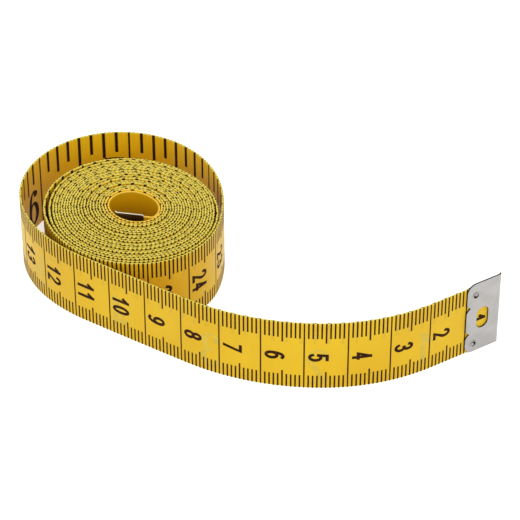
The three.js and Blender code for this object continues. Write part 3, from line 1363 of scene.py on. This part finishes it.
@dataclass
class Print:
    """One face's scale on one length of the tape, printed or, on the other side, showing through."""

    line: TapeLine
    face: Face
    digits: DigitSet
    start: float
    stop: float
    side: Face | None = None

    def __post_init__(self) -> None:
        """Starts with nothing printed."""
        self.side = self.side or self.face
        self.scale = SCALES[self.face]
        self.points: list[np.ndarray] = []
        self.faces: list[tuple[int, ...]] = []
        self.count = 0

    def press(self, points: np.ndarray, faces: list[tuple[int, ...]], place: float) -> None:
        """Prints one block. What shows through is seen from its back, so its faces are turned round.

        Args:
            points: Its points, seen from the printed side.
            faces: Its faces.
            place: The place on the tape that its points are counted from.
        """
        ink = self.digits.ink
        turned = self.side is not self.face
        proud = ink.proud_through if turned else ink.proud
        outwards = self.line.tape.thickness / 2 - ink.sunk + points[:, 2] * (ink.sunk + proud)
        places = place - self.face.value * points[:, 0]
        self.points.append(self.line.solid_point(places, self.side.value * outwards, points[:, 1]))
        for face in faces:
            moved = tuple(corner + self.count for corner in face)
            self.faces.append(moved[::-1] if turned else moved)
        self.count += len(points)

    def steps(self) -> range:
        """Counts the marks on this length.

        Returns:
            Their numbers.
        """
        first = max(1, math.ceil(self.start / self.scale.step))
        last = min(math.ceil(self.stop / self.scale.step), round(self.scale.end / self.scale.step) + 1)
        return range(first, last)

    def print_marks(self, cube: PrintBlock) -> None:
        """Prints the marks on both edges and the full lines at whole units.

        Args:
            cube: The block that each is made from, one metre in size.
        """
        scale = self.scale
        top = scale.width + self.digits.ink.over_edge
        for number in self.steps():
            place = number * scale.step
            in_unit = number % scale.steps_in_unit
            if in_unit == 0:
                spans_up = [(0.0, top, scale.line_width)]
            else:
                spans_up = [(scale.width - scale.top_length(in_unit), top, scale.mark_width)]
                if scale.bottom_marks:
                    spans_up.append((0.0, scale.bottom_length(in_unit), scale.mark_width))
            for low, high, width in spans_up:
                cuts = [cut for cut in self.swell_cuts() if low < cut < high]
                for start, stop in zip([low, *cuts], [*cuts, high]):
                    block = (cube.points - (0.5, 0, 0)) * (width, stop - start, 1) + (0, start, 0)
                    self.press(block, cube.faces, place)

    def swell_cuts(self) -> list[float]:
        """The heights at which a mark is divided, so that it follows wound tape's swollen edges."""
        tape = self.line.tape
        return [tape.swell_depth, tape.width - tape.swell_depth] if self.stop > tape.wound_start else []

    def numbers(self) -> range:
        """Counts the numerals on this length.

        Returns:
            The whole units that they stand for.
        """
        unit = self.scale.step * self.scale.steps_in_unit
        back = self.scale.digit_gap + self.scale.numeral_depth / 2
        first = max(1, math.ceil((self.start + back) / unit))
        last = min(math.ceil((self.stop + back) / unit), round(self.scale.end / unit) + 1)
        return range(first, last)

    def print_numerals(self) -> None:
        """Prints the numerals before their lines."""
        scale = self.scale
        for number in self.numbers():
            text = str(number)
            place = number * scale.step * scale.steps_in_unit - scale.digit_gap
            for index, digit in enumerate(text):
                block = self.digits.blocks[digit]
                along, up, out = block.points.T
                if scale.turned:
                    down = (index - (len(text) - 1) / 2) * scale.digit_pitch
                    points = np.column_stack([up, scale.digit_middle - down - along, out])
                else:
                    aside = (index - len(text) + 1) * scale.digit_pitch - scale.digit_width / 2
                    points = block.points + (aside, scale.digit_middle - scale.digit_height / 2, 0)
                self.press(points, block.faces, place)

    def piece(self, name: str, finish: bpy.types.Material) -> bpy.types.Object | None:
        """Makes one object of all that was printed.

        Args:
            name: The object's name.
            finish: Its material.

        Returns:
            The object, or nothing if the length is plain.
        """
        if not self.points:
            return None
        return Bench.new_piece(name, np.concatenate(self.points), self.faces, [finish])


CENTIMETRE_KIND, INCH_KIND, EDGE_KIND = range(3)
CORNER_KINDS = 3 * (CENTIMETRE_KIND,) + 3 * (EDGE_KIND,) + 3 * (INCH_KIND,) + 3 * (EDGE_KIND,)
SHOW_THROUGH_END = 233 * MM
CLOTH_CREASE = 40


@dataclass
class TapeLength:
    """One length of the tape between two seams, with the print on both of its faces."""

    name: str
    node: str
    start: float
    stop: float
    held: str
    body: str
    bend: Bend | None

    def section(self, tape: TapeSizes) -> np.ndarray:
        """Draws the strip's cross-section, with its cut edges bevelled.

        Args:
            tape: The strip's sizes.

        Returns:
            Each corner's distance aside and its height.
        """
        side, top, cut, swell = tape.thickness / 2, tape.width, tape.edge_round, tape.swell_depth
        heights = [cut, swell, top - swell, top - cut]
        corners = [(side, up) for up in heights] + [(side - cut, top), (cut - side, top)]
        corners += [(-side, up) for up in reversed(heights)] + [(cut - side, 0), (side - cut, 0)]
        return np.array(corners)

    def build(self, line: TapeLine, finishes: list[bpy.types.Material]) -> bpy.types.Object:
        """Lofts the strip along the line as a closed solid with its own map.

        Args:
            line: The tape's middle line.
            finishes: The centimetre face's, the inch face's and the cut edges' materials.

        Returns:
            The strip.
        """
        section = self.section(line.tape)
        stations = line.stations(self.start, self.stop)
        places = np.repeat(stations, len(section))
        aside, heights = np.tile(section, (len(stations), 1)).T
        points = line.solid_point(places, aside, heights)
        ring = len(section)
        faces, kinds = [], []
        for station in range(len(stations) - 1):
            here = station * ring
            for corner in range(ring):
                after = (corner + 1) % ring
                faces.append((here + corner, here + after, here + ring + after, here + ring + corner))
                kinds.append(CORNER_KINDS[corner])
        last = (len(stations) - 1) * ring
        faces += [tuple(range(ring - 1, -1, -1)), tuple(range(last, last + ring))]
        kinds += [EDGE_KIND, EDGE_KIND]
        piece = Bench.new_piece(self.name, points, faces, finishes)
        mesh = piece.data
        mesh.polygons.foreach_set("material_index", kinds)
        self.map(mesh, places, aside, heights)
        Bench.smooth(piece, CLOTH_CREASE)
        return piece

    @staticmethod
    def map(mesh: bpy.types.Mesh, places: np.ndarray, aside: np.ndarray, heights: np.ndarray) -> None:
        """Gives the strip its own map, run on across the cut edges.

        Args:
            mesh: The strip's mesh.
            places: Each point's place along the tape.
            aside: Its distance from the middle of the thickness.
            heights: Its height.
        """
        corners = Bench.read(mesh.loops, "vertex_index")
        kinds = Bench.read(mesh.polygons, "material_index")
        on_edge = np.repeat(kinds == EDGE_KIND, Bench.read(mesh.polygons, "loop_total"))
        across = heights[corners] + aside[corners] * on_edge
        layer = mesh.uv_layers.new(name=TAPE_MAP)
        layer.data.foreach_set("uv", np.column_stack([places[corners], across]).ravel())

    def hold(self, piece: bpy.types.Object, line: TapeLine) -> None:
        """Makes a piece follow this length's body where the length doesn't bend; where it bends, the piece's
        transform is only applied to its mesh.

        Args:
            piece: The strip or a print on it.
            line: The tape's middle line.
        """
        if self.bend is None:
            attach(piece, self.body)
            return
        (start, end), _ = line.at(np.array([self.bend.start, self.bend.end]))
        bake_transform(piece)

    def make(self, line: TapeLine, finishes: dict, digits: dict[Face, DigitSet], cube: PrintBlock) -> None:
        """Args:
            line: The tape's middle line.
            finishes: The tape's materials by name.
            digits: Each face's digits.
            cube: The block that a mark is made from.
        """
        strip = self.build(line, [finishes["centimetres"], finishes["inches"], finishes["edge"]])
        prints = []
        for face in Face:
            layer = Print(line, face, digits[face], self.start, self.stop)
            layer.print_marks(cube)
            layer.print_numerals()
            prints.append(layer.piece(f"{self.name}_{face.name.lower()}", finishes["ink"]))
        if self.start < SHOW_THROUGH_END:
            through = Print(line, Face.INCHES, digits[Face.INCHES], self.start, self.stop, Face.CENTIMETRES)
            through.print_numerals()
            prints.append(through.piece(f"{self.name}_showing_through", finishes["ghost"]))
        prints = [layer for layer in prints if layer]
        for piece in [strip, *prints]:
            self.hold(piece, line)
        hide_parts(self.node)
        flat = (line.tape.width, self.stop - self.start)
        triangles = sum(len(face.vertices) - 2 for item in [strip, *prints] for face in item.data.polygons)
        length = flat[1] / MM
        log.info("%s: %.1f mm of tape, %d prints, %d triangles", self.name, length, len(prints), triangles)


@dataclass
class ClothTape:
    """The whole tape: seven lengths, of which the two that don't bend follow the model's bodies, and what is
    printed on them.

    The joins are where the tail bends, and the seams are where one length meets the next.
    """

    line: TapeLine
    end_insets: tuple[float, float] = (1.05 * MM, 0.55 * MM)
    tip_join: float = 35 * MM
    middle_join: float = 64 * MM
    root_join: float = 94 * MM
    bend_reach: float = 8 * MM
    inner_bend_reach: float = 1 * MM
    seams: tuple[float, ...] = (43.5 * MM, 73.5 * MM, 103.5 * MM, 183.5 * MM, 233.5 * MM, 2019.2 * MM)

    def lengths(self) -> list[TapeLength]:
        """Plans the lengths from the outer clip inwards, each seam clear of the bends and the marks.

        Returns:
            The lengths.
        """
        peel_join = self.line.places[len(self.line.places) - 1 - self.line.peel_index]
        inner_join = self.line.tape.length - self.line.across
        reach = self.inner_bend_reach
        inner_bend = Bend("roll", "inner_end", inner_join - reach, inner_join + reach)
        plan = [
            ("tail_tip", "tail_tip", "laid", self.bend("tail_middle", "tail_tip", self.tip_join)),
            ("tail_middle", "tail_middle", "laid", self.bend("tail_root", "tail_middle", self.middle_join)),
            ("tail_root", "tail_root", "laid", self.bend("outer_turn", "tail_root", self.root_join)),
            ("outer_turn", "outer_turn", "laid", None),
            ("outer_turn_start", "outer_turn", "laid", self.bend("roll", "outer_turn", peel_join)),
            ("roll", "roll", "folded", None),
            ("inner_end", "inner_end", "folded", inner_bend),
        ]
        starts = [self.end_insets[0], *self.seams]
        stops = [*self.seams, self.line.tape.length - self.end_insets[1]]
        return [
            TapeLength(f"cloth_{name}", f"tape_{body}", start, stop, held, body, bend)
            for (name, body, held, bend), start, stop in zip(plan, starts, stops)
        ]

    def bend(self, first: str, second: str, join: float) -> Bend:
        """A bend of the usual reach about a join, from the inner body to the outer one."""
        return Bend(first, second, join + self.bend_reach, join - self.bend_reach)

    def make(self) -> None:
        """Builds the seven lengths and their print."""
        finishes = {
            "centimetres": CENTIMETRE_COAT.material(),
            "inches": INCH_COAT.material(),
            "edge": CutEdgeFinish().material(),
            "ink": PRINTING_INK.material(),
            "ghost": NUMERAL_SHOWING_THROUGH.material(),
        }
        digits = {face: DigitSet(SCALES[face]) for face in Face}
        Bench.clear()
        bpy.ops.mesh.primitive_cube_add(size=1, location=(0.5, 0.5, 0.5))
        cube = PrintBlock.taken_from(bpy.context.object)
        for length in self.lengths():
            length.make(self.line, finishes, digits, cube)


@dataclass(frozen=True)
class StakeSizes:
    """A clip's two pierced stakes: holes with a raised ring and a bent tongue that grips the tape."""

    inset: float = 7.2 * MM
    edge_inset: float = 2.3 * MM
    hole_radius: float = 0.68 * MM
    ring_radius: float = 0.78 * MM
    ring_wire: float = 0.14 * MM
    tongue_radius: float = 0.44 * MM
    tongue_shift: float = 0.22 * MM
    tongue_depth: float = 0.12 * MM
    tongue_flatness: float = 0.5
    tongue_leans: tuple[float, float] = (315.0, 135.0)
    # The thickness of the dark disc in each hole, a painted shade.
    floor_height: float = 0.06 * MM
    hole_steps: int = 24
    ring_steps: int = 32
    wire_steps: int = 10
    tongue_steps: int = 20


@dataclass
class EndClip:
    """A strip of sheet steel folded over one end of the tape.

    It is modelled along X from its folded edge, then turned, and set with that edge on its place on
    the tape. Each plate's height is its share of the clip's. A face whose upright part is smaller
    than flat_normal while the sheet lies flat is a cut edge.
    """

    name: str
    node: str
    body: str
    place: float
    length: float
    turn: float
    line: TapeLine
    height: float = 19.7 * MM
    front_share: float = 1.0
    back_share: float = 0.935
    fold_drop: float = 0.7
    sheet: float = 0.36 * MM
    clearance: float = 0.06 * MM
    corner_radius: float = 2.3 * MM
    corner_steps: int = 10
    notch_depth: float = 1.15 * MM
    notch_half_opening: float = 1.3 * MM
    notch_offset: float = 3.9 * MM
    notch_bow: float = 3.0
    notch_steps: int = 8
    window_width: float = 3.3 * MM
    window_height: float = 6.1 * MM
    window_inset: float = 3.4 * MM
    window_steps: int = 16
    fold_steps: int = 16
    edge_round: float = 0.04 * MM
    cut_edge_angle: float = 40.0
    flat_normal: float = 0.5
    crease: float = 35.0
    stake: StakeSizes = StakeSizes()

    @property
    def thickness(self) -> float:
        """The folded clip's whole thickness."""
        return self.line.tape.thickness + 2 * (self.clearance + self.sheet)

    @property
    def fold_radius(self) -> float:
        """The radius of the middle of the sheet in the fold."""
        return (self.thickness - self.sheet) / 2

    @property
    def fold_reach(self) -> float:
        """How far along the flat sheet the fold reaches from its middle."""
        return self.fold_radius * math.pi / 2

    def along_flat(self, inset: float) -> float:
        """Where a point of the front plate lies on the flat sheet, from the middle of the fold."""
        return self.fold_reach + inset - self.thickness / 2

    def notch(self, middle: float) -> list[tuple[float, float]]:
        """Draws one notch between two lobes of a plate's free edge, as two curves that meet in a point.

        Args:
            middle: The notch's height.

        Returns:
            Its points from bottom to top.
        """
        free = self.along_flat(self.length)
        root, flank = free - self.notch_depth, free - self.notch_depth / self.notch_bow
        outer, inner = self.notch_half_opening, self.notch_half_opening / self.notch_bow
        lower = [(free, middle - outer), (flank, middle - inner), (root, middle)]
        upper = [(root, middle), (flank, middle + inner), (free, middle + outer)]
        points = []
        for curve in (lower, upper):
            for step in range(self.notch_steps + 1):
                share = step / self.notch_steps
                weights = ((1 - share) ** 2, 2 * share * (1 - share), share**2)
                points.append(tuple(sum(w * p[axis] for w, p in zip(weights, curve)) for axis in (0, 1)))
        return points[: self.notch_steps] + points[self.notch_steps + 1 :]

    def corner(self, middle: float, start: float) -> list[tuple[float, float]]:
        """Draws a round corner of the front plate, through a quarter turn.

        Args:
            middle: The height of the arc's middle.
            start: The angle that it starts at, in degrees.

        Returns:
            Its points.
        """
        radius = self.corner_radius
        centre = self.along_flat(self.length) - radius
        angles = np.radians(np.linspace(start, start + 90, self.corner_steps + 1))
        return [(centre + radius * math.cos(a), middle + radius * math.sin(a)) for a in angles]

    def outline(self) -> list[tuple[float, float]]:
        """Draws the flat sheet: two like plates end to end, the front one to the right, and one lower.

        The taller plate's edge runs to the middle of the fold, and from there it drops to the other's.

        Returns:
            The outline's points.
        """
        middle = self.line.tape.width / 2
        right = self.corner(self.corner_radius, -90)
        right += self.notch(middle - self.notch_offset) + self.notch(middle + self.notch_offset)
        right += self.corner(self.height - self.corner_radius, 0)
        front, back = self.front_share, self.back_share
        drop = self.fold_reach * self.fold_drop
        front_end, back_start = (0.0, -drop) if front > back else (drop, 0.0)
        fold = [(front_end, self.height * front), (back_start, self.height * back)]
        left = [(-along, up * back) for along, up in reversed(right)]
        return [(along, up * front) for along, up in right] + fold + left

    def window(self) -> list[tuple[float, float]]:
        """Draws the window, with round ends.

        Returns:
            The outline's points.
        """
        radius = self.window_width / 2
        straight = (self.window_height - self.window_width) / 2
        centre = self.along_flat(self.window_inset + radius)
        points = []
        for step in range(2 * self.window_steps):
            angle = math.pi * (step + 0.5) / self.window_steps
            end = self.line.tape.width / 2 + math.copysign(straight, math.sin(angle))
            points.append((centre + radius * math.cos(angle), end + radius * math.sin(angle)))
        return points

    def stake_heights(self) -> tuple[float, float]:
        """The heights of the two stakes."""
        return self.stake.edge_inset, self.line.tape.width - self.stake.edge_inset

    def circle(self, height: float) -> list[tuple[float, float]]:
        """Draws a stake's hole.

        Args:
            height: The stake's height on the clip.

        Returns:
            The outline's points.
        """
        angles = np.linspace(0, 2 * math.pi, self.stake.hole_steps + 1)[:-1]
        centre, radius = self.along_flat(self.stake.inset), self.stake.hole_radius
        return [(centre + radius * math.cos(a), height + radius * math.sin(a)) for a in angles]

    def flat_sheet(self) -> bpy.types.Object:
        """Cuts the flat sheet with its window and holes on the bench.

        Returns:
            The sheet's object.
        """
        curve = bpy.data.curves.new(self.name, "CURVE")
        curve.dimensions = "2D"
        curve.fill_mode = "BOTH"
        curve.extrude = self.sheet / MM / 2
        for outline in [self.outline(), self.window(), *map(self.circle, self.stake_heights())]:
            spline = curve.splines.new("POLY")
            spline.points.add(len(outline) - 1)
            spline.use_cyclic_u = True
            for point, (along, up) in zip(spline.points, outline):
                point.co = (along / MM, up / MM, 0, 1)
        Bench.pick(Bench.placed(self.name, curve))
        bpy.ops.object.convert(target="MESH")
        Bench.clean(bpy.context.object)
        return bpy.context.object

    def fold(self, piece: bpy.types.Object) -> None:
        """Folds the flat sheet in two, with the front plate on the +Y side.

        Args:
            piece: The sheet.
        """
        reach = self.fold_reach / MM
        Bench.slice(piece, 0, np.linspace(-reach, reach, self.fold_steps + 1))
        for vertex in piece.data.vertices:
            along, up, out = vertex.co
            radius = self.fold_radius / MM + out
            if abs(along) < reach:
                angle = along / self.fold_radius * MM
                vertex.co = (self.thickness / MM / 2 - radius * math.cos(angle), radius * math.sin(angle), up)
            else:
                straight = self.thickness / MM / 2 + abs(along) - reach
                vertex.co = (straight, math.copysign(radius, along), up)

    def round_edges(self, piece: bpy.types.Object) -> None:
        """Takes the sharpness off the sheet's cut edges.

        Args:
            piece: The folded sheet.
        """
        Bench.pick(piece)
        bevel = piece.modifiers.new("edge_round", "BEVEL")
        bevel.width = self.edge_round / MM
        bevel.segments = 2
        bevel.limit_method = "ANGLE"
        bevel.angle_limit = math.radians(self.cut_edge_angle)
        bpy.ops.object.modifier_apply(modifier=bevel.name)

    def add_stake(
        self, height: float, lean: float, steel: bpy.types.Material, dark: bpy.types.Material
    ) -> list[bpy.types.Object]:
        """Models one stake's dark disc, a painted shade in its hole, and its ring and tongue on the bench.

        Args:
            height: The stake's height on the clip.
            lean: Which way its tongue is bent, in degrees.
            steel: The ring's and the tongue's material.
            dark: The dark disc's material, a painted shade.

        Returns:
            The pieces.
        """
        stake = self.stake
        lying = (math.pi / 2, 0, 0)
        centre = Vector((stake.inset, self.thickness / 2, height)) / MM
        floor = Vector((0, (self.sheet - stake.floor_height / 2) / MM, 0))
        # A dark disc at the bottom of the hole: painted shade in the pierced stake.
        Bench.clear()
        bpy.ops.mesh.primitive_cylinder_add(
            location=centre - floor,
            rotation=lying,
            radius=stake.hole_radius / MM,
            depth=stake.floor_height / MM,
            vertices=stake.hole_steps,
        )
        hollow = bpy.context.object
        hollow.data.materials.append(dark)
        Bench.clear()
        bpy.ops.mesh.primitive_torus_add(
            location=centre,
            rotation=lying,
            major_radius=stake.ring_radius / MM,
            minor_radius=stake.ring_wire / MM,
            major_segments=stake.ring_steps,
            minor_segments=stake.wire_steps,
        )
        ring = bpy.context.object
        ring.data.materials.append(steel)
        angle = math.radians(lean)
        shift = Vector((math.cos(angle), 0, math.sin(angle))) * stake.tongue_shift / MM
        Bench.clear()
        bpy.ops.mesh.primitive_uv_sphere_add(
            location=centre + shift - Vector((0, stake.tongue_depth / MM, 0)),
            radius=stake.tongue_radius / MM,
            segments=stake.tongue_steps,
            ring_count=stake.tongue_steps // 2,
        )
        tongue = bpy.context.object
        tongue.scale.y = stake.tongue_flatness
        tongue.data.materials.append(steel)
        return [hollow, ring, tongue]

    def set_in_place(self, piece: bpy.types.Object) -> None:
        """Scales a finished piece to metres and sets it on its end of the tape.

        Args:
            piece: The piece.
        """
        (here,), _ = self.line.at(np.array([self.place]))
        turn = Matrix.Rotation(self.line.inward_heading(self.place) + self.turn, 4, "Z")
        place = Matrix.Translation((*here, 0)) @ turn @ Matrix.Scale(MM, 4)
        piece.data.transform(place @ piece.matrix_world)
        piece.matrix_world = Matrix.Identity(4)

    def make(self, steel: bpy.types.Material, edge: bpy.types.Material, dark: bpy.types.Material) -> None:
        """Builds the clip.

        Args:
            steel: The sheet's material.
            edge: Its cut edges' material, a painted shadow line on the outer clip and a painted highlight on
                the inner one.
            dark: The material of the dark discs in its stakes' holes, a painted shade.
        """
        clip = self.flat_sheet()
        clip.data.materials.append(steel)
        clip.data.materials.append(edge)
        for face in clip.data.polygons:
            face.material_index = int(abs(face.normal.z) < self.flat_normal)
        self.fold(clip)
        self.round_edges(clip)
        parts = []
        for height, lean in zip(self.stake_heights(), self.stake.tongue_leans):
            parts += self.add_stake(height, lean, steel, dark)
        Bench.pick(clip)
        for part in parts:
            part.select_set(True)
        bpy.ops.object.join()
        Bench.turn_outwards(clip)
        self.set_in_place(clip)
        Bench.smooth(clip, self.crease)
        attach(clip, self.body)
        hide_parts(self.node)
        faces = len(clip.data.polygons)
        log.info("%s: folded sheet of %.1f mm on %s, %d faces", self.name, self.length / MM, self.body, faces)


def outer_clip(line: TapeLine) -> EndClip:
    """The clip at the scale's zero, which stands above the tape's top edge.

    Args:
        line: The tape's middle line.

    Returns:
        The clip, not yet built.
    """
    return EndClip(
        name="outer_clip",
        node="outer_end_clip",
        body="tail_tip",
        place=0.5 * MM,
        length=9.6 * MM,
        turn=0.0,
        line=line,
        height=20.2 * MM,
    )


def inner_clip(line: TapeLine) -> EndClip:
    """The clip in the bore, which covers the straight end as far as it can and is lower in front.

    Args:
        line: The tape's middle line.

    Returns:
        The clip, not yet built.
    """
    return EndClip(
        name="inner_clip",
        node="inner_end_clip",
        body="inner_end",
        place=line.tape.length,
        length=line.across - line.inner_end.clip_setback,
        turn=math.pi,
        line=line,
        front_share=0.945,
        back_share=1.0,
        corner_radius=0.6 * MM,
    )


@dataclass
class Studio:
    """The pale floor, the soft light and the camera."""

    camera_place: tuple[float, float, float] = (-5.95 * MM, -495.69 * MM, 403.49 * MM)
    camera_pitch: float = 38.59
    camera_yaw: float = -0.773
    lens: float = 184.1
    sensor: float = 36.0
    floor_size: float = 4.0
    sky: float = 0.88
    key_place: tuple[float, float, float] = (0.0, -0.6, 0.52)
    key_size: float = 0.6
    key_power: float = 1.4
    key_target: tuple[float, float, float] = (0.0, 0.0, 0.01)

    def add_camera(self) -> None:
        """Sets the camera at the photograph's angle."""
        data = bpy.data.cameras.new("camera")
        data.lens = self.lens
        data.sensor_width = self.sensor
        camera = Bench.placed("camera", data)
        camera.location = self.camera_place
        camera.rotation_euler = (math.radians(90 - self.camera_pitch), 0, math.radians(self.camera_yaw))
        bpy.context.scene.camera = camera

    def add_world(self) -> None:
        """Lights the object evenly from all round, with a white background behind it."""
        world = bpy.data.worlds.new("soft_sky")
        world.use_nodes = True
        tree = world.node_tree
        background = tree.nodes["Background"]
        background.inputs["Color"].default_value = (1, 1, 1, 1)
        rays = tree.nodes.new("ShaderNodeLightPath")
        strength = tree.nodes.new("ShaderNodeMapRange")
        strength.inputs["To Min"].default_value = self.sky
        strength.inputs["To Max"].default_value = 1.0
        tree.links.new(rays.outputs["Is Camera Ray"], strength.inputs["Value"])
        tree.links.new(strength.outputs[0], background.inputs["Strength"])
        bpy.context.scene.world = world

    def add_key(self) -> None:
        """Adds the soft key light behind the camera and above it."""
        data = bpy.data.lights.new("key", "AREA")
        data.size = self.key_size
        data.energy = self.key_power
        key = Bench.placed("key", data)
        key.location = self.key_place
        towards = Vector(self.key_target) - Vector(self.key_place)
        key.rotation_euler = towards.to_track_quat("-Z", "Y").to_euler()

    def add_floor(self) -> None:
        """Lays the floor with its paper finish."""
        Bench.clear()
        bpy.ops.mesh.primitive_plane_add(size=self.floor_size)
        floor = bpy.context.object
        floor.name = "studio_floor"
        floor.data.materials.append(FloorFinish().material())

    def build(self) -> None:
        """Sets up the whole studio."""
        self.add_camera()
        self.add_world()
        self.add_key()
        self.add_floor()
        bpy.context.scene.view_settings.view_transform = "Standard"


def main() -> None:
    """Builds the tape measure, its clips and the studio."""
    logging.basicConfig(level=logging.INFO, format="%(message)s")
    Studio().build()
    line = TapeLine()
    ClothTape(line).make()
    # The outer clip's cut edges and both clips' stake discs get a near-black painted shade; the inner clip's
    # steel is painted darker as shade and its edges are painted bright as a highlight.
    dark = CLIP_PAINTED_SHADE.material()
    outer_clip(line).make(CLIP_STEEL.material(), dark, dark)
    inner_clip(line).make(INNER_CLIP_STEEL.material(), INNER_CLIP_EDGE.material(), dark)


if __name__ == "__main__":
    main()
